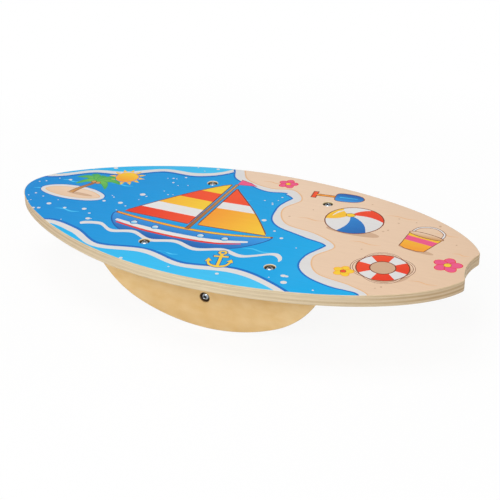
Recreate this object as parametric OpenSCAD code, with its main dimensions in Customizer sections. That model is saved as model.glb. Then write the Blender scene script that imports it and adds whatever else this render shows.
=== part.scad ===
// Balance board: a surfboard-shaped plywood deck on two half-moon rockers joined by a round cross bar.
// Bolts in recesses pull every joint together against barrel nuts.
// Millimetres, +Z up. x = 0 at mid length with the nose at -x, y = 0 on the centre line,
// z = 0 where the rockers stand on the floor.

/* [Deck] */
// Length from the nose to the tail tips
deck_length = 624; // [560:1:700]
// Greatest width, at mid length
deck_width = 312; // [260:1:340]
// Plywood thickness of the deck
deck_thickness = 15; // [12:0.5:21]
// Taper of the nose: 0 is half an ellipse, higher is slimmer
nose_taper = 0.25; // [0:0.01:0.4]
// Shape of the tail sides: low is full, high is slim
tail_power = 0.49; // [0.4:0.01:0.6]
// Angle at which the tail sides run into the tips
tail_side_angle = 27; // [15:1:35]
// Depth of the hollow between the tail tips
tail_hollow_depth = 6; // [2:0.5:10]
// Radius of that hollow
tail_hollow_radius = 90; // [50:1:110]
// Radius of each tail tip
tail_tip_radius = 10; // [4:0.5:14]

/* [Rockers] */
// Plywood thickness of each rocker
rocker_thickness = 15; // [14:0.5:21]
// Height of each rocker from the floor to the deck
rocker_height = 86; // [78:1:100]
// Length of each rocker where it meets the deck
rocker_length = 312; // [290:1:330]
// Radius of the long curve the board rolls on
roll_radius = 232; // [220:1:280]
// Radius of the curve from there up to each end
end_radius = 118; // [95:1:120]
// Distance between the middles of the two rockers
rocker_spacing = 190; // [150:1:210]
// Shift of the rockers from mid length toward the tail
rocker_shift = 8; // [0:0.5:15]

/* [Cross bar] */
// Diameter of the bar between the rockers
bar_diameter = 25; // [22:0.5:32]
// Height of its axis above the floor
bar_height = 43.5; // [38:0.5:48]
// Depth of each barrel nut from the end of the bar
bar_nut_inset = 24; // [18:1:26]

/* [Bolts and nuts] */
// Thread diameter of every bolt
bolt_diameter = 6; // [5:0.5:6]
// Length of each deck bolt below its head
deck_bolt_length = 50; // [46:1:56]
// Length of each cross bar bolt below its head
bar_bolt_length = 45; // [42:1:50]
// Spacing of the deck bolts along each rocker
bolt_spacing = 170; // [140:1:180]
// Diameter of a bolt head
head_diameter = 10.5; // [9.5:0.1:12]
// Height of a bolt head
head_height = 3.3; // [3:0.1:3.8]
// Height of the straight rim below the domed part of a head
head_rim = 0.8; // [0.5:0.1:1]
// Size across the flats of the hexagon socket
socket_size = 4; // [3:0.5:4]
// Depth of the hexagon socket
socket_depth = 2.2; // [1.8:0.1:2.4]
// Diameter of the recess that hides a bolt head
recess_diameter = 13.5; // [13:0.1:16]
// Depth of that recess
recess_depth = 3.8; // [3.8:0.1:6]
// Width of the chamfer round each recess
recess_chamfer = 0.7; // [0.3:0.1:1]
// Diameter of a barrel nut
nut_diameter = 10; // [9:0.5:11]
// Length of a barrel nut
nut_length = 10; // [8:0.5:10.5]
// Depth of the deck bolts' nuts below the deck
rocker_nut_inset = 30; // [25:1:32]
// Width of the screwdriver slot in a nut
slot_width = 1.4; // [1:0.1:2]
// Depth of that slot
slot_depth = 1.2; // [0.8:0.1:1.5]

/* [Fits] */
// Play round a bolt in wood, each side
bolt_clearance = 0.3; // [0.1:0.05:0.5]
// Play round a barrel nut in its hole, each side
nut_clearance = 0.1; // [0.05:0.05:0.3]
// Play of the thread in a nut, each side
thread_clearance = 0.05; // [0.05:0.01:0.15]
// Depth of a bolt hole beyond the end of its bolt
hole_run_out = 3; // [1:0.5:4]

/* [Hidden] */
$fn = 96;
cut = 1;
left = -1;
right = 1;
nose = -1;
tail = 1;
half_length = deck_length / 2;
half_width = deck_width / 2;
deck_top = rocker_height + deck_thickness;
edge_steps = 28;
tip_steps = 6;
tip_x = half_length - tail_tip_radius;
hollow_reach = tail_hollow_radius + tail_tip_radius;
tip_y = sqrt(2 * hollow_reach * tail_hollow_depth - pow(tail_hollow_depth, 2));
hollow_x = half_length - tail_hollow_depth + tail_hollow_radius;
hollow_angle = asin(tip_y / hollow_reach);
side_x = tip_x + tail_tip_radius * cos(tail_side_angle);
side_y = tip_y + tail_tip_radius * sin(tail_side_angle);
tail_angle = acos(pow(side_y / half_width, 1 / (2 * tail_power)));
tail_reach = side_x / sin(tail_angle);
end_offset = roll_radius - end_radius;
corner_x = rocker_length / 2;
corner_z = roll_radius - rocker_height;
corner_reach = norm([corner_x, corner_z]);
corner_turn = acos((pow(corner_reach, 2) + pow(end_offset, 2) - pow(end_radius, 2))
    / (2 * corner_reach * end_offset));
blend_angle = atan2(corner_x, corner_z) - corner_turn;
rocker_y = rocker_spacing / 2;
bar_length = rocker_spacing - rocker_thickness;
deck_seat = deck_top - recess_depth;
bar_seat = rocker_y + rocker_thickness / 2 - recess_depth;
bolt_hole = bolt_diameter + 2 * bolt_clearance;
nut_hole = nut_diameter + 2 * nut_clearance;
rocker_nut_z = rocker_height - rocker_nut_inset;
bar_nut_y = bar_length / 2 - bar_nut_inset;
dome_rise = head_height - head_rim;
dome_radius = (pow(head_diameter / 2, 2) + pow(dome_rise, 2)) / (2 * dome_rise);

// Half of the deck outline, from the nose along one side to the middle of the tail
half_edge = concat(
    [for (i = [0:edge_steps])
        let (a = 90 * i / edge_steps)
        [-half_length * cos(a), half_width * sin(a) * (1 - nose_taper * pow(cos(a), 2))]],
    [for (i = [1:edge_steps])
        let (a = tail_angle * i / edge_steps)
        [tail_reach * sin(a), half_width * pow(cos(a), 2 * tail_power)]],
    [for (i = [1:tip_steps])
        let (a = tail_side_angle - (tail_side_angle + hollow_angle) * i / tip_steps)
        [tip_x + tail_tip_radius * cos(a), tip_y + tail_tip_radius * sin(a)]],
    [for (i = [1:tip_steps])
        let (a = hollow_angle * (1 - i / tip_steps))
        [hollow_x - tail_hollow_radius * cos(a), tail_hollow_radius * sin(a)]]);

module deck_outline() {
    other_side = [for (i = [len(half_edge) - 2:-1:1]) [half_edge[i].x, -half_edge[i].y]];
    polygon(concat(half_edge, other_side));
}

module rocker_outline() {
    intersection() {
        union() {
            intersection() {
                translate([0, roll_radius])
                    circle(r = roll_radius);
                translate([-roll_radius * sin(blend_angle), 0])
                    square([2 * roll_radius * sin(blend_angle), rocker_height]);
            }
            for (side = [nose, tail])
                translate([side * end_offset * sin(blend_angle), roll_radius - end_offset * cos(blend_angle)])
                    circle(r = end_radius);
        }
        translate([-rocker_length, 0])
            square([2 * rocker_length, rocker_height]);
    }
}

// Recess and hole of a bolt that runs down from the surface at z = 0
module bolt_cut(bolt_length) {
    translate([0, 0, -recess_depth])
        cylinder(d = recess_diameter, h = recess_depth + cut);
    translate([0, 0, -recess_chamfer])
        cylinder(d1 = recess_diameter, d2 = recess_diameter + 2 * (recess_chamfer + cut), h = recess_chamfer + cut);
    translate([0, 0, -recess_depth - bolt_length - hole_run_out])
        cylinder(d = bolt_hole, h = bolt_length + hole_run_out + cut);
}

// Bolt with a domed hexagon socket head that sits on z = 0
module bolt(bolt_length) {
    difference() {
        union() {
            rotate_extrude()
                intersection() {
                    translate([0, head_height - dome_radius])
                        circle(r = dome_radius);
                    square([head_diameter / 2, head_height]);
                }
            translate([0, 0, -bolt_length])
                cylinder(d = bolt_diameter, h = bolt_length + head_rim);
        }
        translate([0, 0, head_height - socket_depth])
            cylinder(d = socket_size / cos(30), h = socket_depth + cut, $fn = 6);
    }
}

// Barrel nut along z with its thread along x and a slot in its lower end
module barrel_nut() {
    difference() {
        cylinder(d = nut_diameter, h = nut_length, center = true);
        rotate([0, 90, 0])
            cylinder(d = bolt_diameter + 2 * thread_clearance, h = nut_diameter + 2 * cut, center = true);
        translate([-nut_diameter, -slot_width / 2, -nut_length / 2 - cut])
            cube([2 * nut_diameter, slot_width, slot_depth + cut]);
    }
}

module deck() {
    color("BurlyWood")
        difference() {
            translate([0, 0, rocker_height])
                linear_extrude(deck_thickness)
                    deck_outline();
            for (end = [nose, tail], side = [left, right])
                translate([rocker_shift + end * bolt_spacing / 2, side * rocker_y, deck_top])
                    bolt_cut(deck_bolt_length);
        }
}

module rocker(side) {
    color("Tan")
        difference() {
            translate([rocker_shift, side * rocker_y + rocker_thickness / 2, 0])
                rotate([90, 0, 0])
                    linear_extrude(rocker_thickness)
                        rocker_outline();
            for (end = [nose, tail])
                translate([rocker_shift + end * bolt_spacing / 2, side * rocker_y, 0]) {
                    translate([0, 0, deck_seat - deck_bolt_length - hole_run_out])
                        cylinder(d = bolt_hole, h = deck_top);
                    translate([0, side * nut_length / 2, rocker_nut_z])
                        rotate([side * 90, 0, 0])
                            cylinder(d = nut_hole, h = rocker_thickness);
                }
            translate([rocker_shift, side * (rocker_y + rocker_thickness / 2), bar_height])
                rotate([-side * 90, 0, 0])
                    bolt_cut(bar_bolt_length);
        }
}

module rocker_left() {
    rocker(left);
}

module rocker_right() {
    rocker(right);
}

module cross_bar() {
    color("Wheat")
        translate([rocker_shift, 0, bar_height])
            difference() {
                rotate([90, 0, 0])
                    cylinder(d = bar_diameter, h = bar_length, center = true);
                for (side = [left, right]) {
                    translate([0, side * (bar_seat - bar_bolt_length - hole_run_out), 0])
                        rotate([-side * 90, 0, 0])
                            cylinder(d = bolt_hole, h = bar_bolt_length);
                    translate([0, side * bar_nut_y, nut_length / 2 - bar_diameter])
                        cylinder(d = nut_hole, h = bar_diameter);
                }
            }
}

module deck_bolt(end, side) {
    color("Silver")
        translate([rocker_shift + end * bolt_spacing / 2, side * rocker_y, deck_seat])
            bolt(deck_bolt_length);
}

module deck_bolt_nose_left() {
    deck_bolt(nose, left);
}

module deck_bolt_nose_right() {
    deck_bolt(nose, right);
}

module deck_bolt_tail_left() {
    deck_bolt(tail, left);
}

module deck_bolt_tail_right() {
    deck_bolt(tail, right);
}

module rocker_nut(end, side) {
    color("LightSlateGray")
        translate([rocker_shift + end * bolt_spacing / 2, side * rocker_y, rocker_nut_z])
            rotate([-side * 90, 0, 0])
                rotate([0, 0, 90])
                    barrel_nut();
}

module rocker_nut_nose_left() {
    rocker_nut(nose, left);
}

module rocker_nut_nose_right() {
    rocker_nut(nose, right);
}

module rocker_nut_tail_left() {
    rocker_nut(tail, left);
}

module rocker_nut_tail_right() {
    rocker_nut(tail, right);
}

module bar_bolt(side) {
    color("Silver")
        translate([rocker_shift, side * bar_seat, bar_height])
            rotate([-side * 90, 0, 0])
                bolt(bar_bolt_length);
}

module bar_bolt_left() {
    bar_bolt(left);
}

module bar_bolt_right() {
    bar_bolt(right);
}

module bar_nut(side) {
    color("LightSlateGray")
        translate([rocker_shift, side * bar_nut_y, bar_height])
            rotate([0, 0, 90])
                barrel_nut();
}

module bar_nut_left() {
    bar_nut(left);
}

module bar_nut_right() {
    bar_nut(right);
}

deck();
rocker_left();
rocker_right();
cross_bar();
deck_bolt_nose_left();
deck_bolt_nose_right();
deck_bolt_tail_left();
deck_bolt_tail_right();
rocker_nut_nose_left();
rocker_nut_nose_right();
rocker_nut_tail_left();
rocker_nut_tail_right();
bar_bolt_left();
bar_bolt_right();
bar_nut_left();
bar_nut_right();
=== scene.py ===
import math
from functools import partial

import bmesh
import bpy
import numpy as np
from mathutils import Matrix, Vector
from mathutils.geometry import delaunay_2d_cdt


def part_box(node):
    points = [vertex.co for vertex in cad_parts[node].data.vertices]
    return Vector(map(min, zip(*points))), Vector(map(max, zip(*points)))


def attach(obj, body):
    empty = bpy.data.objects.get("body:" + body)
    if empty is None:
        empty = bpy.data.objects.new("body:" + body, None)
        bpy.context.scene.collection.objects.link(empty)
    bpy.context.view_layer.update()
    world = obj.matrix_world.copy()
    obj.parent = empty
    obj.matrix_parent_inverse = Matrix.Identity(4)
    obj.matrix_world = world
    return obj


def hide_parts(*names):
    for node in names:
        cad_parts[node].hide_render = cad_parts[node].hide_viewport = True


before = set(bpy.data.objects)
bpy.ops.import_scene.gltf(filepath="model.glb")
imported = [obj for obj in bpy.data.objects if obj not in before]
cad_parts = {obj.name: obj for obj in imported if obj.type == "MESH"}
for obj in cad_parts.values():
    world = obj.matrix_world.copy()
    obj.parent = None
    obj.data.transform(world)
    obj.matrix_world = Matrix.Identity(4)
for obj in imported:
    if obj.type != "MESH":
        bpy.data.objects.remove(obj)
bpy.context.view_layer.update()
scene = bpy.context.scene
scene.view_settings.view_transform = "Standard"
mm = 0.001  # drawings below are in millimetres, meshes in metres
print("stage: frame loaded,", len(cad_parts), "nodes")

# Camera at the photograph's place, lens for a 500 x 500 frame
cameraView = {
    "place": (0.56171, -1.14827, 0.72888),
    "right": (0.908143, 0.418447, -0.013345),
    "down": (0.183716, -0.426951, -0.885416),
    "lens": 79.839,
    "sensor": 36,
    "farthest": 20,
}


def addObject(name, data):
    made = bpy.data.objects.new(name, data)
    scene.collection.objects.link(made)
    return made


def addCamera(view):
    data = bpy.data.cameras.new("camera")
    data.sensor_width = view["sensor"]
    data.lens = view["lens"]
    data.clip_end = view["farthest"]
    right = Vector(view["right"]).normalized()
    up = -Vector(view["down"]).normalized()
    turn = Matrix((right, up, right.cross(up))).transposed().to_4x4()
    scene.camera = addObject("camera", data)
    scene.camera.matrix_world = Matrix.Translation(view["place"]) @ turn


addCamera(cameraView)


# Node helpers: another node's output is linked to a socket, anything else is set on it
def feed(tree, value, socket):
    if isinstance(value, bpy.types.NodeSocket):
        tree.links.new(value, socket)
    elif socket.type == "RGBA":
        socket.default_value = (*value, 1)
    else:
        socket.default_value = value


def addNode(tree, kind, inputs=(), **settings):  # gives the new node's outputs
    node = tree.nodes.new(kind)
    for name, choice in settings.items():
        setattr(node, name, choice)
    for slot, value in dict(inputs).items():
        feed(tree, value, node.inputs[slot])
    return node.outputs


def mathNode(tree, operation, a, b=0.5):
    return addNode(tree, "ShaderNodeMath", {0: a, 1: b}, operation=operation)[0]


def mixColour(tree, factor, a, b, blend="MIX"):
    sockets = {0: factor, 6: a, 7: b}  # those of the colour kind
    return addNode(tree, "ShaderNodeMix", sockets, data_type="RGBA", blend_type=blend)[2]


def objectPlace(tree):
    return addNode(tree, "ShaderNodeTexCoord")["Object"]


def attribute(tree, name, output):
    return addNode(tree, "ShaderNodeAttribute", attribute_name=name)[output]


def noiseAt(tree, stretch, detail, roughness):
    place = addNode(tree, "ShaderNodeMapping", {"Vector": objectPlace(tree), "Scale": stretch})[0]
    sizes = {"Scale": 1.0, "Detail": detail, "Roughness": roughness}
    return addNode(tree, "ShaderNodeTexNoise", {"Vector": place, **sizes})[0]


def stretched(axis, along, across):
    return tuple(along if i == axis else across for i in range(3))


def remap(tree, value, low, high, toLow, toHigh):
    ends = {"From Min": low, "From Max": high, "To Min": toLow, "To Max": toHigh}
    return addNode(tree, "ShaderNodeMapRange", {"Value": value, **ends})[0]


def stain(tree, tone, colour, pattern, low, high, strength, blend="MIX"):
    return mixColour(tree, remap(tree, pattern, low, high, 0, strength), tone, colour, blend)


def bumpFrom(tree, height, strength, distance=0.0002):
    return addNode(tree, "ShaderNodeBump", {"Height": height, "Strength": strength, "Distance": distance})[0]


def srgb(red, green, blue):
    parts = [v / 255 for v in (red, green, blue)]
    return tuple(v / 12.92 if v <= 0.04045 else ((v + 0.055) / 1.055) ** 2.4 for v in parts)


def shaded(colour, share):  # share: one number, or one each for red, green and blue
    return tuple(float(c) for c in np.multiply(colour, share))


def newMaterial(name):
    material = bpy.data.materials.new(name)
    material.use_nodes = True
    return material, material.node_tree


def dress(material, colour, roughness, normal, others=()):
    tree = material.node_tree
    inputs = {"Base Color": colour, "Roughness": roughness, "Normal": normal, **dict(others)}
    for name, value in inputs.items():
        feed(tree, value, tree.nodes["Principled BSDF"].inputs[name])
    return material


# Birch face veneer: soft blotches, flame figure along the grain, fine pores
def birchFace(name, pale, warm, grain, blotch=(9, 42), figured=0.3):
    material, tree = newMaterial(name)
    broad = noiseAt(tree, stretched(grain, *blotch), 3.0, 0.5)
    figure = noiseAt(tree, stretched(grain, 26, 260), 5.0, 0.6)
    pores = noiseAt(tree, stretched(grain, 150, 2600), 2.0, 0.5)
    tone = stain(tree, pale, warm, broad, 0.3, 0.7, 1)
    tone = stain(tree, tone, shaded(warm, 0.8), figure, 0.35, 0.75, figured)
    tone = stain(tree, tone, shaded(warm, 0.55), pores, 0.62, 0.78, figured)
    return dress(material, tone, remap(tree, figure, 0.3, 0.7, 0.46, 0.6), bumpFrom(tree, pores, 0.25))


# Sawn and sanded plywood edge: thin outer veneers, thick core, in turn along and across the grain.
# On the long sides they look much alike; round the ends the cross veneers show brown, and the whole edge is
# darker there, partly end grain and partly painted shade
def plyEdge(name, box, axis, finish):
    material, tree = newMaterial(name)
    calc, ramp, noise = (partial(helper, tree) for helper in (mathNode, remap, noiseAt))
    plies, along, across = finish["plies"], finish["along"], finish["across"]

    def tinted(tone, factor, colour, share):
        return mixColour(tree, factor, tone, shaded(colour, share))

    waver = ramp(noise((16, 16, 16), 3.0, 0.5), 0.3, 0.7, -0.0003, 0.0003)
    where = addNode(tree, "ShaderNodeSeparateXYZ", {0: objectPlace(tree)})[axis]
    share = ramp(calc("ADD", where, waver), box[0][axis], box[1][axis], 1, -1)
    level = calc("MULTIPLY", calc("ARCCOSINE", share), plies / math.pi)  # counts the veneers
    isAcross = calc("MODULO", calc("ABSOLUTE", calc("FLOOR", level)), 2.0)
    isAcross = calc("GREATER_THAN", isAcross, 0.5)
    facing = addNode(tree, "ShaderNodeSeparateXYZ", {0: addNode(tree, "ShaderNodeNewGeometry")["Normal"]})
    # Darker where the edge faces along X, round the nose and tail: partly end grain, partly painted shade
    endGrainAndShade = ramp(calc("ABSOLUTE", facing["X"]), 0.02, 0.72, 0, 1)
    streaks = noise(stretched(axis, 1000, 40), 4.0, 0.6)
    endGrain = noise(stretched(axis, 700, 1500), 3.0, 0.6)
    patches = noise(stretched(axis, 260, 9), 2.0, 0.5)
    alongTone = tinted(along, ramp(streaks, 0.34, 0.66, 0, 0.8), along, (0.84, 0.8, 0.72))
    alongTone = tinted(alongTone, endGrainAndShade, along, (0.85, 0.75, 0.66))
    acrossTone = tinted(across, ramp(endGrain, 0.35, 0.7, 0, 0.6), across, (0.8, 0.75, 0.66))
    acrossTone = tinted(acrossTone, endGrainAndShade, across, (0.75, 0.6, 0.48))
    patchy = calc("MULTIPLY", isAcross, ramp(patches, 0.36, 0.62, 0.15, 1.0))
    tone = mixColour(tree, patchy, alongTone, acrossTone)
    # The lowest ply is darkened, partly its own tone and partly painted shade along the edge's foot
    lowest, top = ramp(level, 0.1, 0.5, 0.4, 0), ramp(level, plies - 0.6, plies - 0.45, 0, 0.5)
    tone = tinted(tone, lowest, across, (0.82, 0.74, 0.6))
    tone = tinted(tone, top, across, (0.86, 0.74, 0.6))
    fromMiddle = calc("ABSOLUTE", calc("SUBTRACT", calc("FRACT", level), 0.5))
    glue = calc("MULTIPLY", ramp(fromMiddle, 0.4, 0.48, 0, 0.55), ramp(streaks, 0.4, 0.62, 0.1, 1))
    tone = tinted(tone, glue, across, (0.68, 0.58, 0.44))
    return dress(material, tone, ramp(endGrain, 0.3, 0.7, 0.5, 0.68), bumpFrom(tree, endGrain, 0.3))


# Screen-printed ink under satin lacquer; the veneer's grain shows through a little
def printInk(name):
    material, tree = newMaterial(name)
    grain = noiseAt(tree, (30, 420, 420), 4.0, 0.6)
    cloud = noiseAt(tree, (14, 14, 14), 3.0, 0.5)
    fibre = noiseAt(tree, (240, 3200, 3200), 2.0, 0.5)
    tone = attribute(tree, "ink", "Color")
    tone = stain(tree, tone, srgb(150, 110, 76), grain, 0.32, 0.72, 0.06, "MULTIPLY")
    tone = stain(tree, tone, srgb(255, 246, 232), cloud, 0.35, 0.7, 0.012)
    tone = stain(tree, tone, srgb(196, 160, 120), fibre, 0.66, 0.8, 0.08, "MULTIPLY")
    roughness = remap(tree, cloud, 0.3, 0.7, 0.46, 0.58)
    return dress(material, tone, roughness, bumpFrom(tree, grain, 0.12), {"Specular IOR Level": 0.1})


# Bored wood: pale at the mouth, darker further in, which is painted shade of the narrow recess
def boredWood(name, pale, dark):
    material, tree = newMaterial(name)
    rings = noiseAt(tree, (300, 300, 1800), 3.0, 0.6)
    uneven = remap(tree, rings, 0.3, 0.7, -0.12, 0.12)
    # deep runs from 0 at the mouth to 1 further in; the mix towards the dark colour paints the recess's shade
    recessShade = mathNode(tree, "ADD", attribute(tree, "deep", "Fac"), uneven)
    return dress(material, stain(tree, pale, dark, recessShade, 0.1, 0.6, 1), 0.7, bumpFrom(tree, rings, 0.3))


# Bright zinc on steel, with drawn marks and handling dulling; the hexagon socket is painted dark, as painted
# shade
def zincSteel(name, colour, roughLow, roughHigh):
    material, tree = newMaterial(name)
    cloud = noiseAt(tree, (420, 420, 420), 4.0, 0.6)
    marks = noiseAt(tree, (5200, 5200, 900), 2.0, 0.5)
    tone = stain(tree, colour, shaded(colour, 0.72), cloud, 0.3, 0.75, 0.35)
    # Painted shade: the faces marked socket get a near black tone
    tone = mixColour(tree, attribute(tree, "socket", "Fac"), tone, shaded(colour, 0.12))
    roughness = remap(tree, cloud, 0.3, 0.7, roughLow, roughHigh)
    return dress(material, tone, roughness, bumpFrom(tree, marks, 0.12, 0.00008), {"Metallic": 1.0})


# Finishes of the pieces
deckLow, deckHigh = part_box("deck")
rockerLow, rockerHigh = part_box("rocker_left")
deckFinish = {"plies": 9, "along": srgb(228, 213, 183), "across": srgb(215, 198, 164)}
rockerFinish = {"plies": 9, "along": srgb(230, 204, 158), "across": srgb(208, 176, 126)}
alongX, alongY, alongZ = range(3)
inkMaterial = printInk("printedInk")
deckEdgeMaterial = plyEdge("deckPlyEdge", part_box("deck"), alongZ, deckFinish)
birchMaterial = birchFace("birchVeneer", srgb(228, 199, 146), srgb(216, 183, 127), alongX)
rockerMaterial = birchFace("rockerVeneer", srgb(237, 206, 151), srgb(228, 190, 126), alongX, (38, 60), 0.1)
barMaterial = birchFace("dowelWood", srgb(224, 192, 146), srgb(206, 168, 118), alongY)
cutMaterial = birchFace("paleCut", srgb(243, 226, 190), srgb(232, 210, 168), alongX)
# The dark colours of the two bore finishes are painted shade inside the recesses
deckBoreMaterial = boredWood("boredDeck", srgb(206, 178, 132), srgb(62, 48, 34))
rockerBoreMaterial = boredWood("boredRocker", srgb(198, 162, 108), srgb(70, 52, 34))
boltMaterial = zincSteel("brightZinc", srgb(158, 166, 173), 0.14, 0.26)
nutMaterial = zincSteel("dullZinc", srgb(160, 164, 168), 0.28, 0.42)
rockerEdgeMaterials = {
    sideName: plyEdge("rockerPlyEdge." + sideName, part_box("rocker_" + sideName), alongY, rockerFinish)
    for sideName in ("left", "right")
}
print("stage: finishes made")


# Flat drawing helpers, for outlines, the picture and round sections
def smoothLine(points, closed, steps=8):
    pts = np.array(points, float)
    count = len(pts)
    out = []
    for i in range(count if closed else count - 1):
        near = range(i - 1, i + 3)
        p0, p1, p2, p3 = (pts[k % count if closed else min(max(k, 0), count - 1)] for k in near)
        for s in range(steps):
            t = s / steps
            out.append(0.5 * (2 * p1 + (p2 - p0) * t + (2 * p0 - 5 * p1 + 4 * p2 - p3) * t * t
                              + (3 * p1 - p0 - 3 * p2 + p3) * t ** 3))
    if not closed:
        out.append(pts[-1])
    return np.array(out)


def sidewards(points, closed):
    pts = np.asarray(points, float)
    if closed:
        run = np.roll(pts, -1, 0) - np.roll(pts, 1, 0)
    else:
        run = np.gradient(pts, axis=0)
    run /= np.linalg.norm(run, axis=1)[:, None] + 1e-12
    return np.c_[run[:, 1], -run[:, 0]]


def grown(points, distance):
    pts = np.asarray(points, float)
    x, y = pts.T
    runsLeft = np.sum(x * np.roll(y, -1) - np.roll(x, -1) * y) > 0
    outward = sidewards(pts, True) * (1 if runsLeft else -1)
    return pts + outward * np.asarray(distance).reshape(-1, 1)


def ribbon(points, widths, steps=8):
    path = smoothLine(points, False, steps)
    across = sidewards(path, False)
    half = np.interp(np.linspace(0, 1, len(path)), np.linspace(0, 1, len(widths)), widths)[:, None] / 2
    return np.vstack([path + across * half, (path - across * half)[::-1]])


def turned(points, angle, middle):
    c, s = math.cos(angle), math.sin(angle)
    return points @ np.array([[c, s], [-s, c]]) + middle


def disc(cx, cy, rx, ry=None, steps=36, turn=0.0):
    ry = rx if ry is None else ry
    a = np.linspace(0, 2 * math.pi, steps, endpoint=False)
    return turned(np.c_[rx * np.cos(a), ry * np.sin(a)], turn, (cx, cy))


def ringPart(cx, cy, inner, outer, steps, start=0, end=359.9):
    a = np.radians(np.linspace(start, end, steps))
    arc = np.c_[np.cos(a), np.sin(a)]
    return np.vstack([arc * outer, arc[::-1] * inner]) + (cx, cy)


def placed(points, cx, cy, degrees=0.0, size=1.0):
    return turned(np.asarray(points, float) * size, math.radians(degrees), (cx, cy))


def isInside(polygon, points):
    px, py = points[:, 0], points[:, 1]
    inside = np.zeros(len(points), bool)
    lo, hi = polygon.min(0), polygon.max(0)
    near = np.flatnonzero((px >= lo[0]) & (px <= hi[0]) & (py >= lo[1]) & (py <= hi[1]))
    if not len(near):
        return inside
    x, y = px[near], py[near]
    hit = np.zeros(len(near), bool)
    for (x0, y0), (x1, y1) in zip(polygon, np.roll(polygon, -1, 0)):
        if y0 == y1:
            continue
        crosses = (y0 > y) != (y1 > y)
        hit ^= crosses & (x < (x1 - x0) * (y - y0) / (y1 - y0) + x0)
    inside[near] = hit
    return inside


# Deck outline, drawn by the same rule as the solid but with finer steps
deckShape = {"noseTaper": 0.25, "tailPower": 0.49, "tailSideAngle": 27, "hollowDepth": 6, "hollowRadius": 90,
             "tipRadius": 10, "sideSteps": 110, "tipSteps": 14, "ease": 0.8, "foot": 1.5, "groove": 0.05}


def deckOutline(shape):
    halfLength = (deckHigh[0] - deckLow[0]) / 2 / mm
    halfWidth = (deckHigh[1] - deckLow[1]) / 2 / mm
    taper, power = shape["noseTaper"], shape["tailPower"]
    tip, hollow, depth = shape["tipRadius"], shape["hollowRadius"], shape["hollowDepth"]
    tipX, reach = halfLength - tip, hollow + tip
    tipY = math.sqrt(2 * reach * depth - depth ** 2)
    hollowAngle = math.asin(tipY / reach)
    side = math.radians(shape["tailSideAngle"])
    sideX, sideY = tipX + tip * math.cos(side), tipY + tip * math.sin(side)
    tailAngle = math.acos((sideY / halfWidth) ** (0.5 / power))
    tailReach = sideX / math.sin(tailAngle)
    n, k = shape["sideSteps"] + 1, shape["tipSteps"] + 1
    nose, tail = np.linspace(0, math.pi / 2, n), np.linspace(0, tailAngle, n)[1:]
    corner, notch = np.linspace(side, -hollowAngle, k)[1:], np.linspace(hollowAngle, 0, k)[1:]
    half = np.vstack([
        np.c_[-halfLength * np.cos(nose), halfWidth * np.sin(nose) * (1 - taper * np.cos(nose) ** 2)],
        np.c_[tailReach * np.sin(tail), halfWidth * np.cos(tail) ** (2 * power)],
        np.c_[tipX + tip * np.cos(corner), tipY + tip * np.sin(corner)],
        np.c_[halfLength - depth + hollow - hollow * np.cos(notch), hollow * np.sin(notch)]])
    return np.vstack([half, half[-2:0:-1] * (1, -1)])[::-1]


# Printed picture: sailing boat, island and beach things, all drawn from plain curves
inks = {
    "seaDeep": srgb(14, 138, 212), "seaLight": srgb(26, 178, 236), "seaPale": srgb(72, 196, 242),
    "seaDark": srgb(12, 112, 194), "foam": srgb(222, 220, 219), "sand": srgb(237, 208, 181),
    "sandShade": srgb(230, 198, 168), "shoreLine": srgb(232, 186, 142), "yellow": srgb(246, 204, 60),
    "amber": srgb(244, 156, 52), "red": srgb(228, 54, 34), "scarlet": srgb(240, 84, 48),
    "pink": srgb(236, 92, 138), "white": srgb(230, 228, 226), "navy": srgb(22, 88, 164),
    "hullBlue": srgb(56, 152, 226), "green": srgb(70, 164, 84), "leaf": srgb(120, 192, 84),
    "brown": srgb(150, 96, 52), "tan": srgb(206, 152, 92), "outline": srgb(120, 58, 30),
    "shadow": srgb(208, 172, 142),
}
picture = {
    "sun": (-196, 66, 15), "island": (-240, -6), "boat": (34, -2), "anchor": (30, -100, 0.9, 14),
    "ball": (142, 62, 37), "lifeRing": (216, -44, 31, 16), "bucket": (236, 38, -10), "spade": (98, 120, 97),
    "flowers": ((284, -8, 17, "pink", "yellow", "red"), (20, 133, 13, "pink", "yellow", "red"),
                (176, -70, 12, "yellow", "scarlet", "amber")),
    "shore": [(-70, 190), (-52, 150), (-34, 124), (4, 112), (36, 118), (58, 92), (46, 56), (66, 20), (112, 8),
              (146, -16), (132, -52), (150, -86), (196, -98), (226, -116), (246, -170)],
    "inland": [(420, -190), (420, 190)],
}
dots = {"seed": 7, "tries": 900, "bubbles": 90, "pebbles": 22, "sizes": [0.9, 1.2, 1.6, 2.2, 3.0, 3.6],
        "chances": [0.3, 0.25, 0.2, 0.12, 0.08, 0.05], "spread": (-305, 300, -146, 146),
        "gap": 2.2, "fromFoam": 4.5, "fromShore": 8,
        "groundLayers": 12, "broadest": 330}  # lower or broader shapes may lie under dots
inkLayers = []


# One ink may run into another, from a start to an end or else up the shape
def lay(points, colour, colour2=None, *run):
    pts = np.asarray(points, float)
    lo, hi = pts.min(0), pts.max(0)
    start, end = run or (lo, (lo[0], hi[1]))
    inkLayers.append({"points": pts, "a": np.array(inks[colour]), "b": np.array(inks[colour2 or colour]),
                      "start": np.array(start, float), "end": np.array(end, float)})


def layLined(points, line, width, *inking):
    lay(grown(points, width), line)
    lay(points, *inking)


def layWave(line, ends, shade, shadeWidths, foamWidths, *run):
    lay(np.vstack([smoothLine(line, False), ends]), "seaLight", "seaPale", *run)
    lay(ribbon([(x + shade[0], y + shade[1]) for x, y in line], shadeWidths), "seaDark")
    lay(ribbon(line, foamWidths), "foam")


def layRipples(spots, rise, tip, width, colour):
    for x, y, reach in spots:
        path = [(x - reach / 2, y), (x - reach / 6, y + rise), (x + reach / 6, y), (x + reach / 2, y + rise)]
        lay(ribbon(path, [tip, width, width, tip]), colour)


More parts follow.
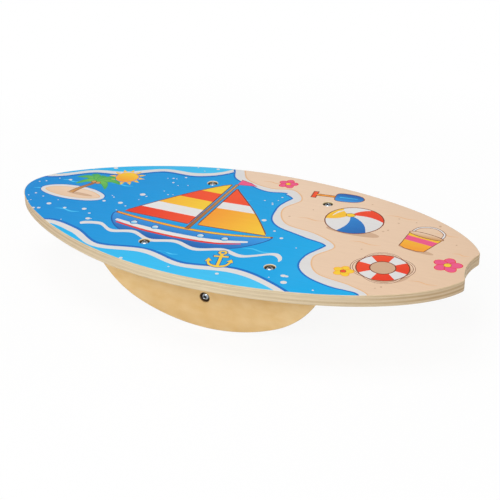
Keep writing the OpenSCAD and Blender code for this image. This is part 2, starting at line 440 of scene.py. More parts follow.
def drawSea():
    lay([(-340, -200), (340, -200), (340, 200), (-340, 200)], "seaDeep", "seaLight", (-300, 0), (290, 0))
    farWave = [(-345, 20), (-292, 34), (-250, 66), (-205, 78), (-160, 108), (-112, 112), (-78, 132),
               (-55, 170)]
    layWave(farWave, [(-55, 220), (-345, 220)], (1, -4), [10, 9, 9, 11, 9, 11, 9, 10],
            [9, 8, 8, 10, 8, 10, 8, 9], (-300, 60), (-60, 140))
    nearWave = [(-262, -140), (-226, -96), (-176, -104), (-128, -128), (-66, -118), (-8, -132), (58, -121),
                (112, -136), (170, -170)]
    layWave(nearWave, [(170, -220), (-262, -220)], (0, 4), [10, 9, 11, 9, 10, 9, 11, 9, 9],
            [9, 8, 10, 8, 9, 8, 10, 8, 9], (-240, -130), (150, -140))
    layRipples([(-282, -14, 30), (-262, 24, 26), (-190, 40, 34), (-216, -58, 36), (-36, -112, 30),
                (62, -64, 40), (-20, 62, 32)], 3, 0.4, 2.6, "seaPale")


def drawBeach():
    shore = np.vstack([smoothLine(picture["shore"], False, 10), picture["inland"]])
    run = np.linspace(0, 26, len(shore))
    wash = 3 * np.sin(run) + 1.5 * np.sin(2.7 * run)
    lay(grown(shore, 15.5 + wash), "seaDark")
    lay(grown(shore, 13 + wash), "foam")
    lay(grown(shore, 2.0), "shoreLine")
    lay(shore, "sand", "sandShade", (40, 60), (320, -60))
    layRipples([(196, 92, 44), (262, 66, 30), (90, 42, 36), (176, 6, 40), (270, -62, 34), (0, 128, 30),
                (292, 22, 22)], 2.5, 0.3, 2, "shoreLine")


def drawIsland(cx, cy):
    rim = [(-40, -2), (-24, 9), (2, 13), (26, 10), (42, 0), (28, -9), (0, -13), (-26, -10)]
    mound = placed(smoothLine(rim, True), cx, cy)
    lay(grown(mound, 9), "seaDark")
    lay(grown(mound, 7.5), "foam")
    layLined(mound, "shoreLine", 1.5, "sandShade", "sand")
    lay(placed(disc(12, -1, 20, 3.6), cx, cy), "shadow")
    top = (cx + 12, cy + 44)
    trunk = [(cx - 2, cy - 1), (cx + 2, cy + 16), (cx + 9, cy + 32), top]
    lay(ribbon(trunk, [8.4, 7, 6, 5.6]), "outline")
    lay(ribbon(trunk, [6.4, 5.2, 4.2, 3.8]), "tan", "brown", (cx - 4, cy), (cx + 16, cy + 40))
    for angle, reach in ((168, 34), (132, 28), (92, 22), (48, 30), (12, 36), (-30, 28), (208, 27)):
        a = math.radians(angle)
        mid = (top[0] + reach * 0.55 * math.cos(a), top[1] + reach * 0.55 * math.sin(a) + 5)
        far = (top[0] + reach * math.cos(a), top[1] + reach * math.sin(a) - 5)
        lay(ribbon([top, mid, far], [4, 11.5, 8.5, 1.2]), "green")
        lay(ribbon([top, mid, far], [2.4, 8.6, 6, 0.5]), "leaf", "green", top, far)
    for dx, dy in ((-3, -3), (4, -4)):
        layLined(disc(top[0] + dx, top[1] + dy, 3.2, steps=16), "outline", 0.8, "tan")


def drawSail(leech, luff, bands, *run):
    lay(grown(np.vstack([leech, luff[::-1]]), 1.6), "outline")
    for a, b, *inking in bands:
        lay(np.vstack([leech[a:b + 1], luff[a:b + 1][::-1]]), *inking, *run)


def drawBoat(dx, dy):
    lowest = len(inkLayers)
    hull = [(-186, -34), (-178, -58), (-150, -78), (-96, -84), (-38, -80), (4, -62), (30, -24), (-14, -37),
            (-92, -43), (-152, -40)]
    layLined(smoothLine(hull, True), "navy", 1.8, "navy", "hullBlue", (-90, -84), (-90, -34))
    lay(ribbon([(-176, -53), (-130, -60), (-78, -62), (-30, -58), (8, -45)], [5, 8, 8, 8, 4]), "white")
    lay(ribbon([(-172, -59), (-130, -66), (-78, -68), (-30, -64), (2, -53)], [3, 4, 4, 4, 2]), "red")
    for x, y in ((-150, -51.5), (-118, -53.5), (-54, -52.5), (-22, -48.5)):
        layLined(disc(x, y, 4.2, steps=20), "navy", 1.2, "seaPale", "white")
    rail = [(-140, -39), (-80, -42), (-26, -37)]
    lay(ribbon([(-187, -33), *rail, (32, -22)], [5, 6, 6, 6, 4]), "outline")
    lay(ribbon([(-185, -33), *rail, (29, -23)], [3, 4, 4, 4, 2]), "amber", "yellow", (-180, 0), (20, 0))
    lay(ribbon([(-79, -42), (-77, 106)], [6.4, 5]), "outline")
    lay(ribbon([(-79, -42), (-77, 105)], [4.4, 3]), "tan", "brown", (-80, 100), (-80, -40))
    drop = np.linspace(0, 1, 25)
    mainLeech = np.c_[-84 - 94 * drop ** 0.82, 102 - 128 * drop]
    foreLeech = np.c_[-71 + 92 * drop ** 1.06 + 6 * np.sin(math.pi * drop), 92 - 112 * drop]
    mainBands = [(0, 6, "yellow", "amber"), (6, 11, "scarlet", "red"), (11, 16, "yellow", "amber"),
                 (16, 20, "white", "white"), (20, 24, "scarlet", "red")]
    foreBands = [(0, 9, "scarlet", "red"), (9, 13, "white", "white"), (13, 24, "amber", "yellow")]
    drawSail(mainLeech, np.c_[np.full_like(drop, -84), 102 - 130 * drop], mainBands, (-84, 20), (-178, -20))
    drawSail(foreLeech, np.c_[np.full_like(drop, -71), 92 - 118 * drop], foreBands, (-71, 0), (24, -20))
    layLined([(-77, 106), (-77, 122), (-62, 117), (-50, 111)], "outline", 1.0, "pink")
    crest = [(-214, -80), (-190, -68), (-166, -80), (-138, -72), (-108, -84), (-76, -75), (-44, -84),
             (-12, -72), (18, -78), (52, -58), (64, -76), (30, -96), (-30, -103), (-100, -105), (-170, -100)]
    water = [(x * 0.985 - 1, y - 7 if i < 11 else y - 3) for i, (x, y) in enumerate(crest)]
    lay(smoothLine(crest, True), "foam")
    lay(smoothLine(water, True), "seaDeep", "seaLight", (-300 - dx, 0), (290 - dx, 0))
    for layer in inkLayers[lowest:]:
        for key in ("points", "start", "end"):
            layer[key] = layer[key] + (dx, dy)


def drawBall(cx, cy, radius):
    lay(disc(cx + 9, cy - radius * 0.86, radius * 0.95, radius * 0.24), "shadow")
    lay(disc(cx, cy, radius + 1.5, steps=64), "outline")
    pole = np.array((cx - radius * 0.26, cy + radius * 0.34))
    corners = (cx - radius, cy + radius), (cx + radius, cy - radius)
    tones = [("scarlet", "red"), ("white", "foam"), ("yellow", "amber"), ("white", "foam"),
             ("hullBlue", "navy"), ("white", "foam")]
    for i, inking in enumerate(tones):
        a = np.radians(np.linspace(i * 60 + 12, i * 60 + 72, 14))
        rim = np.c_[np.cos(a), np.sin(a)] * radius + (cx, cy)
        bow = []
        for end in (rim[0], rim[-1]):
            t = np.linspace(0, 1, 8)[1:-1, None]
            swing = np.array((-(end - pole)[1], (end - pole)[0])) * 0.12
            bow.append(pole + (end - pole) * t + swing * np.sin(math.pi * t))
        lay(np.vstack([[pole], bow[0], rim, bow[1][::-1]]), *inking, *corners)
    layLined(disc(*pole, radius * 0.15, radius * 0.13, steps=24), "outline", 0.8, "yellow")
    glint = [(cx - radius * 0.84, cy + radius * 0.08), (cx - radius * 0.72, cy + radius * 0.46),
             (cx - radius * 0.42, cy + radius * 0.76)]
    lay(ribbon(glint, [0.5, radius * 0.09, 0.5]), "white")


def drawLifeRing(cx, cy, outer, inner):
    lay(disc(cx + 5, cy - 6, outer, outer * 0.96, steps=48), "shadow")
    for i in range(4):
        a = np.radians(np.linspace(i * 90 - 27, i * 90 + 63, 13))
        bow = outer + 6 * np.sin(np.linspace(0, math.pi, 13))
        rope = np.c_[cx + bow * np.cos(a), cy + bow * np.sin(a)]
        lay(ribbon(rope, [3.2, 3.2], 2), "outline")
        lay(ribbon(rope, [1.8, 1.8], 2), "sand")
    lay(ringPart(cx, cy, inner - 1.4, outer + 1.4, 64), "outline")
    corners = (cx - outer, cy + outer), (cx + outer, cy - outer)
    for i in range(4):
        lay(ringPart(cx, cy, inner, outer, 12, i * 90 - 8, i * 90 + 44), "scarlet", "red", *corners)
        lay(ringPart(cx, cy, inner, outer, 10, i * 90 + 44, i * 90 + 82), "white", "foam", *corners)


def drawBucket(*place):
    lay(placed(disc(6, -23, 24, 5), *place), "shadow")
    handle = [(-20, 17), (-17, 34), (0, 43), (17, 34), (20, 17)]
    lay(placed(ribbon(handle, [4, 4]), *place), "outline")
    lay(placed(ribbon(handle, [2.2, 2.2]), *place), "white")
    body = [(-22, 18), (-16, -22), (-8, -25), (8, -25), (16, -22), (22, 18)]
    layLined(placed(body, *place), "outline", 1.3, "amber", "yellow")
    lay(placed([(-20.4, 8), (-18.6, -4), (18.6, -4), (20.4, 8)], *place), "pink")
    layLined(placed(disc(0, 18, 22.5, 5.4), *place), "outline", 1.2, "tan", "sand")


def drawSpade(*place):
    blade = [(-11, 0), (-11, -20), (-7, -31), (0, -35), (7, -31), (11, -20), (11, 0), (0, 3)]
    for width, shaft, grip in ((1.3, "outline", "outline"), (0, "amber", "scarlet")):
        lay(placed(ribbon([(0, 0), (0, 30)], [3.6 + 2 * width] * 2), *place), shaft)
        lay(placed(ribbon([(-9 - width, 32), (9 + width, 32)], [5 + 2 * width] * 2), *place), grip)
    layLined(placed(smoothLine(blade, True, 5), *place), "outline", 1.2, "hullBlue", "navy")
    lay(placed(ribbon([(0, -2), (0, -27)], [2.4, 1]), *place), "seaPale")


def drawFlower(cx, cy, radius, petals, heart, line):
    for i in range(5):
        a = math.radians(90 + 72 * i)
        x, y = cx + radius * 0.55 * math.cos(a), cy + radius * 0.55 * math.sin(a)
        layLined(disc(x, y, radius * 0.48, radius * 0.38, 24, a), line, 0.9, petals)
    layLined(disc(cx, cy, radius * 0.26, steps=20), "outline", 0.6, heart)


def drawAnchor(cx, cy, size, turn):
    place = (cx, cy, turn, size)
    arms = [(-15, -8), (-11, -17), (0, -21), (11, -17), (15, -8)]
    for extra, tone in ((2.6, "navy"), (0.0, "yellow")):
        lay(placed(ribbon([(0, -20), (0, 14)], [4.2 + extra] * 2), *place), tone)
        lay(placed(ribbon([(-10 - extra / 2, 7), (10 + extra / 2, 7)], [4 + extra] * 2), *place), tone)
        lay(placed(ribbon(arms, [3 + extra, 4.6 + extra, 3 + extra]), *place), tone)
        for side in (-1, 1):
            tip = np.array([(side * 19, -9), (side * 10, -6), (side * 16, 1)])
            lay(placed(grown(tip, extra / 2), *place), tone)
        lay(placed(ringPart(0, 18, 2.8 - extra / 2, 6 + extra / 2, 28), *place), tone)


def drawSun(cx, cy, radius):
    ray = [(radius * 1.18, -radius * 0.17), (radius * 1.72, 0), (radius * 1.18, radius * 0.17)]
    for i in range(12):
        layLined(placed(ray, cx, cy, 30 * i + 8), "amber", 0.8, "yellow")
    layLined(disc(cx, cy, radius, steps=48), "amber", 1.2, "amber", "yellow")


# Foam bubbles on the sea and pebbles on the sand, clear of the things drawn there
def drawDots(rng):
    inland = grown(np.vstack([smoothLine(picture["shore"], False, 6), picture["inland"]]), -dots["fromShore"])
    shapes = [layer["points"] for layer in inkLayers[dots["groundLayers"]:]]
    motifs = [points for points in shapes if np.ptp(points, axis=0).max() < dots["broadest"]]
    foams = [layer["points"] for layer in inkLayers if np.allclose(layer["a"], inks["foam"])]
    foams = [grown(points, dots["fromFoam"]) for points in foams]
    west, east, near, far = dots["spread"]
    bubbles, pebbles = [], []
    for _ in range(dots["tries"]):
        x = rng.uniform(west, east)
        y = rng.uniform(near, far)
        r = rng.choice(dots["sizes"], p=dots["chances"])
        turn = rng.uniform(0, 3)
        spot = np.array([[x, y]])
        around = np.vstack([spot, disc(x, y, r + dots["gap"], steps=12)])
        if any(isInside(m, around).any() for m in motifs):
            continue
        if isInside(inland, spot)[0] and len(pebbles) < dots["pebbles"]:
            pebbles.append(disc(x, y, 0.8 + r * 0.6, 0.6 + r * 0.4, steps=12, turn=turn))
        elif len(bubbles) < dots["bubbles"] and not any(isInside(m, spot)[0] for m in foams):
            bubbles.append(disc(x, y, r * 1.1, r, steps=16))
    for found, colour in ((bubbles, "foam"), (pebbles, "shadow")):
        for dot in found:
            lay(dot, colour)


drawSea()
drawBeach()
drawSun(*picture["sun"])
drawIsland(*picture["island"])
drawBoat(*picture["boat"])
drawAnchor(*picture["anchor"])
drawBall(*picture["ball"])
drawLifeRing(*picture["lifeRing"])
drawBucket(*picture["bucket"])
drawSpade(*picture["spade"])
for flower in picture["flowers"]:
    drawFlower(*flower)
drawDots(np.random.default_rng(dots["seed"]))
print("stage: picture drawn,", len(inkLayers), "ink shapes")


# Geometry node trees: one geometry in, named values, one geometry out in the finish that is given
def newTree(name, source, values, result):
    tree = bpy.data.node_groups.new(name, "GeometryNodeTree")
    for label, kind in [(source, "Geometry"), *values, ("Finish", "Material")]:
        tree.interface.new_socket(label, in_out="INPUT", socket_type="NodeSocket" + kind)
    tree.interface.new_socket(result, in_out="OUTPUT", socket_type="NodeSocketGeometry")
    return tree, addNode(tree, "NodeGroupInput")


def closeTree(tree, given, geometry):
    real = addNode(tree, "GeometryNodeRealizeInstances", {0: geometry})[0]
    painted = addNode(tree, "GeometryNodeSetMaterial", {0: real, "Material": given["Finish"]})[0]
    addNode(tree, "NodeGroupOutput", {0: painted})
    return tree


# Ply edge band swept round a board's rim, with a fine groove at each glue line
def plyBandTree(stepsPerPly=4):
    sizes = [(label, "Float") for label in ("Thickness", "Ease", "Foot", "Groove")]
    tree, given = newTree("plyBand", "Rim", [("Plies", "Int"), *sizes], "Band")
    calc = partial(mathNode, tree)
    thick, ease, foot = given["Thickness"], given["Ease"], given["Foot"]
    steps = calc("MULTIPLY", given["Plies"], stepsPerPly)
    line = addNode(tree, "GeometryNodeMeshLine", {"Count": calc("ADD", steps, 1)})[0]
    index = addNode(tree, "GeometryNodeInputIndex")[0]
    angle = calc("MULTIPLY", calc("DIVIDE", index, steps), math.pi)
    share = calc("SUBTRACT", 0.5, calc("MULTIPLY", calc("COSINE", angle), 0.5))
    deep = calc("MULTIPLY", share, thick)
    left = calc("SUBTRACT", thick, deep)
    reach = ease
    for radius, away in ((ease, deep), (foot, left)):  # round the upper and the lower edge
        short = calc("MAXIMUM", calc("SUBTRACT", radius, away), 0)
        square = calc("SUBTRACT", calc("POWER", radius, 2), calc("POWER", short, 2))
        inset = calc("SUBTRACT", radius, calc("SQRT", calc("MAXIMUM", square, 0)))
        reach = calc("SUBTRACT", reach, inset)
    onGlue = calc("LESS_THAN", calc("MODULO", index, stepsPerPly), 0.5)
    inner = calc("MULTIPLY", calc("GREATER_THAN", deep, ease), calc("GREATER_THAN", left, foot))
    cutIn = calc("MULTIPLY", calc("MULTIPLY", onGlue, inner), given["Groove"])
    shape = addNode(tree, "ShaderNodeCombineXYZ", {"X": calc("SUBTRACT", reach, cutIn), "Y": deep})[0]
    bent = addNode(tree, "GeometryNodeSetPosition", {"Geometry": line, "Position": shape})[0]
    profile = addNode(tree, "GeometryNodeMeshToCurve", {0: bent})[0]
    rim = addNode(tree, "GeometryNodeMeshToCurve", {0: given["Rim"]})[0]
    level = addNode(tree, "GeometryNodeSetCurveNormal", {0: rim}, mode="Z_UP")[0]
    sweep = addNode(tree, "GeometryNodeCurveToMesh", {"Curve": level, "Profile Curve": profile})[0]
    return closeTree(tree, given, addNode(tree, "GeometryNodeSetShadeSmooth", {0: sweep})[0])


def bakedMesh(holder, modifier):
    bpy.context.view_layer.update()
    graph = bpy.context.evaluated_depsgraph_get()
    mesh = bpy.data.meshes.new_from_object(holder.evaluated_get(graph))
    holder.modifiers.remove(modifier)
    return mesh


def runTree(name, mesh, tree, values):
    holder = addObject(name + ".holder", mesh)
    modifier = holder.modifiers.new("nodes", "NODES")
    modifier.node_group = tree
    for item in tree.interface.items_tree:
        if item.in_out == "INPUT" and item.name in values:
            modifier[item.identifier] = values[item.name]
    result = bakedMesh(holder, modifier)
    bpy.data.objects.remove(holder)
    result.name = name
    return result


bandTree = plyBandTree()


# Loops: outer rim first, then holes. Gives points, triangles and the top ink layer of each triangle
def sheetBetween(loops, layers=()):
    points, edges = [], []
    for loop in list(loops) + [layer["points"] for layer in layers]:
        first = len(points)
        points += [Vector(p) for p in loop]
        edges += [(first + i, first + (i + 1) % len(loop)) for i in range(len(loop))]
    insideOnly, weld = 1, 1e-4
    found = delaunay_2d_cdt(points, edges, [], insideOnly, weld)
    flat = np.array([tuple(v) for v in found[0]])
    tris = np.array(found[2])
    centre = flat[tris].mean(1)
    keep = isInside(np.asarray(loops[0]), centre) if layers else np.ones(len(tris), bool)
    for hole in loops[1:]:
        keep &= ~isInside(np.asarray(hole), centre)
    tris, centre = tris[keep], centre[keep]
    top = np.full(len(tris), -1)
    for i, layer in enumerate(layers):
        top[isInside(layer["points"], centre)] = i
    used, tris = np.unique(tris, return_inverse=True)
    return flat[used], tris.reshape(-1, 3), top


def rimLoops(tris):
    after = {}
    pairs = {(a, b) for t in tris for a, b in ((t[0], t[1]), (t[1], t[2]), (t[2], t[0]))}
    for a, b in pairs:
        if (b, a) not in pairs:
            after[a] = b
    loops = []
    while after:
        start, here = next(iter(after.items()))
        loop = [start]
        del after[start]
        while here != start:
            loop.append(here)
            here = after.pop(here)
        loops.append(loop)
    return loops


def meshFrom(name, points, faces, edges=()):
    mesh = bpy.data.meshes.new(name)
    mesh.from_pydata([tuple(p) for p in points], list(edges), [tuple(int(i) for i in f) for f in faces])
    return mesh


def atHeight(points, z):
    return np.c_[points, np.full(len(points), z)]


def bridge(rings):
    count = len(rings[0])
    faces = []
    for r in range(len(rings) - 1):
        a, b = r * count, (r + 1) * count
        faces += [(a + i, a + (i + 1) % count, b + (i + 1) % count, b + i) for i in range(count)]
    return faces


def facesOut(mesh, weld=None, place=None):  # counts the edges that are left open
    bm = bmesh.new()
    bm.from_mesh(mesh)
    if weld:
        bmesh.ops.remove_doubles(bm, verts=bm.verts, dist=weld)
    bmesh.ops.recalc_face_normals(bm, faces=bm.faces)
    if place:
        bm.transform(place)
    openEdges = sum(1 for e in bm.edges if not e.is_manifold)
    bm.to_mesh(mesh)
    bm.free()
    return openEdges


def shadeSmooth(mesh, sharpFrom):
    mesh.polygons.foreach_set("use_smooth", [True] * len(mesh.polygons))
    mesh.set_sharp_from_angle(angle=math.radians(sharpFrom))


def setFinishes(mesh, *finishes):
    mesh.materials.clear()
    for finish in finishes:
        mesh.materials.append(finish)


# A board is drawn in millimetres, its good face at z = 0 and its back at z = -thickness, and then placed
faceSlot, edgeSlot, backSlot, boreSlot, chamferSlot = range(5)
recessShape = {"mouth": 7.45, "wall": 6.75, "chamfer": 0.7, "depth": 3.8, "hole": 3.3, "steps": 56}
nutSocket = {"radius": 5.1, "depth": 12.5, "steps": 40}
boardJoin = {"flush": 1e-6, "weld": 2e-6, "sharpFrom": 38}


def inkFace(sheet, flat, tris, top, layers):
    colour = np.ones((len(tris), 3, 4))
    for i, layer in enumerate(layers):
        mine = np.flatnonzero(top == i)
        if len(mine):
            run = layer["end"] - layer["start"]
            t = np.clip(((flat[tris[mine]] - layer["start"]) @ run) / max(run @ run, 1e-9), 0, 1)[..., None]
            colour[mine, :, :3] = layer["a"] * (1 - t) + layer["b"] * t
    sheet.attributes.new("ink", "FLOAT_COLOR", "CORNER").data.foreach_set("color", colour.ravel())


def boreRings(mouth, middle, thickness, shape):
    a = np.arctan2(mouth[:, 1] - middle[1], mouth[:, 0] - middle[0])
    wall, hole, depth = shape["wall"], shape["hole"], shape["depth"]
    rings = [atHeight(mouth, 0)]
    for r, z in ((wall, -shape["chamfer"]), (wall, -depth), (hole, -depth), (hole, -thickness)):
        rings.append(atHeight(np.c_[middle[0] + r * np.cos(a), middle[1] + r * np.sin(a)], z))
    return rings


def joinParts(name, parts, finishes):
    objects = []
    for part, slot in parts:
        setFinishes(part, *finishes)
        part.polygons.foreach_set("material_index", [slot] * len(part.polygons))
        objects.append(addObject(part.name, part))
    board = objects[0]
    with bpy.context.temp_override(active_object=board, object=board, selected_objects=objects,
                                   selected_editable_objects=objects):
        bpy.ops.object.join()
    board.name = board.data.name = name
    return board


def buildBoard(name, outline, thickness, recesses, sockets, layers, finishes, shape, plies, place):
    parts = []

    def addPart(kind, slot, points, faces):
        parts.append((meshFrom(name + kind, points * mm, faces), slot))
        return parts[-1][0]

    mouths = [disc(x, y, recessShape["mouth"], steps=recessShape["steps"]) for x, y in recesses]
    flat, tris, top = sheetBetween([grown(outline, -shape["ease"])] + mouths, layers)
    sheet = addPart(".face", faceSlot, atHeight(flat, 0), tris)
    if layers:
        inkFace(sheet, flat, tris, top, layers)
    loops = sorted(rimLoops(tris), key=lambda loop: -np.ptp(flat[loop], axis=0).max())
    outer = flat[loops[0]]
    rimEdges = [(i, (i + 1) % len(outer)) for i in range(len(outer))]
    rim = meshFrom(name + ".rim", atHeight(outer, 0) * mm, [], rimEdges)
    band = runTree(name + ".band", rim, bandTree, {
        "Plies": plies, "Thickness": thickness * mm, "Ease": shape["ease"] * mm, "Foot": shape["foot"] * mm,
        "Groove": shape["groove"] * mm, "Finish": finishes[edgeSlot]})
    parts.append((band, edgeSlot))
    swept = np.array([tuple(v.co) for v in band.vertices])
    backLoops = [swept[swept[:, 2] < swept[:, 2].min() + boardJoin["flush"], :2] / mm]
    for loop in loops[1:]:
        mouth = flat[loop]
        middle = min(recesses, key=lambda c: np.hypot(*(mouth.mean(0) - c)))
        rings = boreRings(mouth, middle, thickness, recessShape)
        addPart(".chamfer", chamferSlot, np.vstack(rings[:2]), bridge(rings[:2]))
        recess = addPart(".recess", boreSlot, np.vstack(rings[1:]), bridge(rings[1:]))
        # deep tells the bore finish where to paint shade, from the mouth inwards
        deep = [0.0] * len(mouth) + [1.0] * (3 * len(mouth))
        recess.attributes.new("deep", "FLOAT", "POINT").data.foreach_set("value", deep)
        backLoops.append(rings[-1][:, :2])
    for x, y in sockets:
        mouth = disc(x, y, nutSocket["radius"], steps=nutSocket["steps"])
        rings = [atHeight(mouth, z) for z in (-thickness, nutSocket["depth"] - thickness)]
        faces = bridge(rings) + [tuple(range(len(mouth), 2 * len(mouth)))]
        addPart(".socket", boreSlot, np.vstack(rings), faces)
        backLoops.append(mouth)
    backFlat, backTris, _ = sheetBetween(backLoops)
    addPart(".back", backSlot, atHeight(backFlat, -thickness), backTris[:, ::-1])
    board = joinParts(name, parts, finishes)
    openEdges = facesOut(board.data, boardJoin["weld"], place)
    shadeSmooth(board.data, boardJoin["sharpFrom"])
    print("stage:", name, "made,", len(board.data.polygons), "faces,", openEdges, "open edges")
    return board


def middleOf(node):
    low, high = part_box(node)
    return [(a + b) / 2 for a, b in zip(low, high)]


def nodesNamed(start):
    return [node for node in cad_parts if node.startswith(start)]


deckBoltNodes, barBoltNodes = nodesNamed("deck_bolt"), nodesNamed("bar_bolt")
boltPoints = [(middleOf(node)[0] / mm, middleOf(node)[1] / mm) for node in deckBoltNodes]
deckFinishes = [inkMaterial, deckEdgeMaterial, birchMaterial, deckBoreMaterial, cutMaterial]
deck = buildBoard(
    "deckBoard", deckOutline(deckShape), (deckHigh[2] - deckLow[2]) / mm, boltPoints, [], inkLayers,
    deckFinishes, deckShape, deckFinish["plies"], Matrix.Translation((0, 0, deckHigh[2])))
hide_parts("deck")
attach(deck, "root")

# Half-moon rockers: one long rolling arc, tangent arcs up to each end
rockerShape = {"rollRadius": 232, "endRadius": 118, "rollSteps": 90, "endSteps": 60, "topSteps": 60,
               "ease": 0.8, "foot": 0.8, "groove": 0.05}


def rockerOutline(shape):
    half = (rockerHigh[0] - rockerLow[0]) / 2 / mm
    height = (rockerHigh[2] - rockerLow[2]) / mm
    roll, end = shape["rollRadius"], shape["endRadius"]
    offset, rise = roll - end, roll - height
    reach = math.hypot(half, rise)
    blend = math.atan2(half, rise) - math.acos((reach ** 2 + offset ** 2 - end ** 2) / (2 * reach * offset))
    endX, endZ = offset * math.sin(blend), roll - offset * math.cos(blend)
    last = math.atan2(half - endX, endZ - height)
    rolling = np.linspace(0, blend, shape["rollSteps"])
    rising = np.linspace(blend, last, shape["endSteps"])[1:]
    right = np.vstack([
        np.c_[roll * np.sin(rolling), roll - roll * np.cos(rolling)],
        np.c_[endX + end * np.sin(rising), endZ - end * np.cos(rising)]])
    top = [(x, height) for x in np.linspace(half, -half, shape["topSteps"])[1:-1]]
    return np.vstack([right, top, right[:0:-1] * (-1, 1)])


for sideName, outward in (("left", -1), ("right", 1)):
    low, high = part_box("rocker_" + sideName)
    middleX = (low[0] + high[0]) / 2
    nuts = []
    for node in nodesNamed("rocker_nut"):
        if node.endswith(sideName):
            x, _, z = middleOf(node)
            nuts.append(((x - middleX) / mm * -outward, z / mm))
    face = high[1] if outward > 0 else low[1]
    place = Matrix(((-outward, 0, 0, middleX), (0, 0, outward, face), (0, 1, 0, 0), (0, 0, 0, 1)))
    barPoint = (0, middleOf("bar_bolt_" + sideName)[2] / mm)
    rockerFinishes = [rockerMaterial, rockerEdgeMaterials[sideName], rockerMaterial, rockerBoreMaterial,
                      rockerMaterial]
    rocker = buildBoard(
        "rocker." + sideName, rockerOutline(rockerShape), (high[1] - low[1]) / mm, [barPoint], nuts, [],
        rockerFinishes, rockerShape, rockerFinish["plies"], place)
    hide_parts("rocker_" + sideName)
    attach(rocker, "root")

# Bolts: domed head with a hexagon socket, one pattern set on each seat by nodes
boltShape = {
    "headRadius": 5.25, "headHeight": 3.3, "rim": 0.8, "rimEase": 0.1, "domeInset": 0.06, "ease": 0.25,
    "shank": 3.0, "tipRadius": 2.3, "tipChamfer": 0.8, "deckLength": 50, "barLength": 45,
    "mouth": 2.55, "flat": 2.0, "brow": 1.04, "browDrop": 0.22, "wallDrop": 0.34,  # hexagon socket
    "socketDepth": 2.2, "drillPoint": 0.5,
    "poleRadius": 0.01, "domeSteps": 12, "segments": 48, "sharpFrom": 32, "seed": 5,
}


def domeAt(shape, radius):  # height of the dome above the seat
    rise = shape["headHeight"] - shape["rim"]
    dome = (shape["headRadius"] ** 2 + rise ** 2) / (2 * rise)
    return shape["headHeight"] - dome + math.sqrt(dome ** 2 - radius ** 2)


def boltMesh(name, length, shape):
    n, shank, widest, pole = (shape[key] for key in ("segments", "shank", "headRadius", "poleRadius"))
    profile = [
        (pole, -length), (shape["tipRadius"], -length), (shank, -length + shape["tipChamfer"]), (shank, 0),
        (widest - shape["ease"], 0), (widest, shape["ease"]), (widest, shape["rim"] - shape["rimEase"])]
    dome = np.linspace(widest - shape["domeInset"], shape["mouth"], shape["domeSteps"])
    profile += [(r, domeAt(shape, r)) for r in dome]
    rings = [atHeight(disc(0, 0, r, steps=n), z) for r, z in profile]
    a = np.linspace(0, 2 * math.pi, n, endpoint=False)
    hexagon = shape["flat"] / np.cos((a + math.pi / 6) % (math.pi / 3) - math.pi / 6)
    lip, bottom = profile[-1][1], shape["headHeight"] - shape["socketDepth"]
    for scale, z in ((shape["brow"], lip - shape["browDrop"]), (1.0, lip - shape["wallDrop"]), (1.0, bottom),
                     (pole, bottom - shape["drillPoint"])):
        rings.append(atHeight(disc(0, 0, scale * hexagon, steps=n), z))
    last = (len(rings) - 1) * n
    faces = bridge(rings) + [tuple(range(n))[::-1], tuple(range(last, last + n))]
    mesh = meshFrom(name, np.vstack(rings) * mm, faces)
    # Marks the hexagon socket's faces, which the zinc finish paints dark as painted shade
    dark = [1.0 if i // n >= len(profile) else 0.0 for i in range(last)] + [0.0, 1.0]
    mesh.attributes.new("socket", "FLOAT", "FACE").data.foreach_set("value", dark)
    facesOut(mesh)
    shadeSmooth(mesh, shape["sharpFrom"])
    return mesh


# Puts one fastener on each point of a mesh, along the point's "outward", turned at random about its axis
def fastenerTree():
    tree, given = newTree("fasteners", "Points", [("Fastener", "Object"), ("Seed", "Int")], "Set")
    item = addNode(tree, "GeometryNodeObjectInfo", {"Object": given["Fastener"]})["Geometry"]
    way = addNode(tree, "GeometryNodeInputNamedAttribute", {"Name": "outward"}, data_type="FLOAT_VECTOR")
    upright = addNode(tree, "FunctionNodeAlignEulerToVector", {"Vector": way["Attribute"]}, axis="Z")[0]
    spread = addNode(tree, "GeometryNodeInstanceOnPoints", {
        "Points": given["Points"], "Instance": item, "Rotation": upright})[0]
    fullTurn = {3: 2 * math.pi, "Seed": given["Seed"]}  # the float kind's upper limit
    chance = addNode(tree, "FunctionNodeRandomValue", fullTurn, data_type="FLOAT")[1]
    twist = addNode(tree, "ShaderNodeCombineXYZ", {"Z": chance})[0]
    turn = addNode(tree, "GeometryNodeRotateInstances", {"Instances": spread, "Rotation": twist})[0]
    return closeTree(tree, given, turn)


boltTree = fastenerTree()
headTop = domeAt(boltShape, boltShape["flat"]) * mm  # the socket cuts the solid's dome there


def setBolts(name, nodes, length, axis):
    seats, outward = [], []
    for node in nodes:
        low, high = (np.array(corner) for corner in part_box(node))
        seat = (low + high) / 2
        way = np.zeros(3)
        way[axis] = 1 if axis == alongZ or seat[axis] > 0 else -1
        seat[axis] = (high if way[axis] > 0 else low)[axis]
        seats.append(seat - way * headTop)
        outward.append(way)
    points = meshFrom(name + ".points", seats, [])
    ways = points.attributes.new("outward", "FLOAT_VECTOR", "POINT")
    ways.data.foreach_set("vector", np.array(outward, float).ravel())
    pattern = addObject(name + ".pattern", boltMesh(name + ".pattern", length, boltShape))
    mesh = runTree(name, points, boltTree, {
        "Fastener": pattern, "Seed": boltShape["seed"], "Finish": boltMaterial})
    bpy.data.objects.remove(pattern)
    piece = addObject(name, mesh)
    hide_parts(*nodes)
    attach(piece, "root")
    print("stage:", name, "made,", len(mesh.polygons), "faces")


setBolts("deckBolts", deckBoltNodes, boltShape["deckLength"], alongZ)
setBolts("barBolts", barBoltNodes, boltShape["barLength"], alongY)

# Cross bar: turned dowel, bored for its two nuts
barShape = {"segments": 96, "ease": 0.6, "easeShare": 0.3, "nutHole": 5.1, "holeSegments": 48, "runOut": 10,
            "sharpFrom": 30}


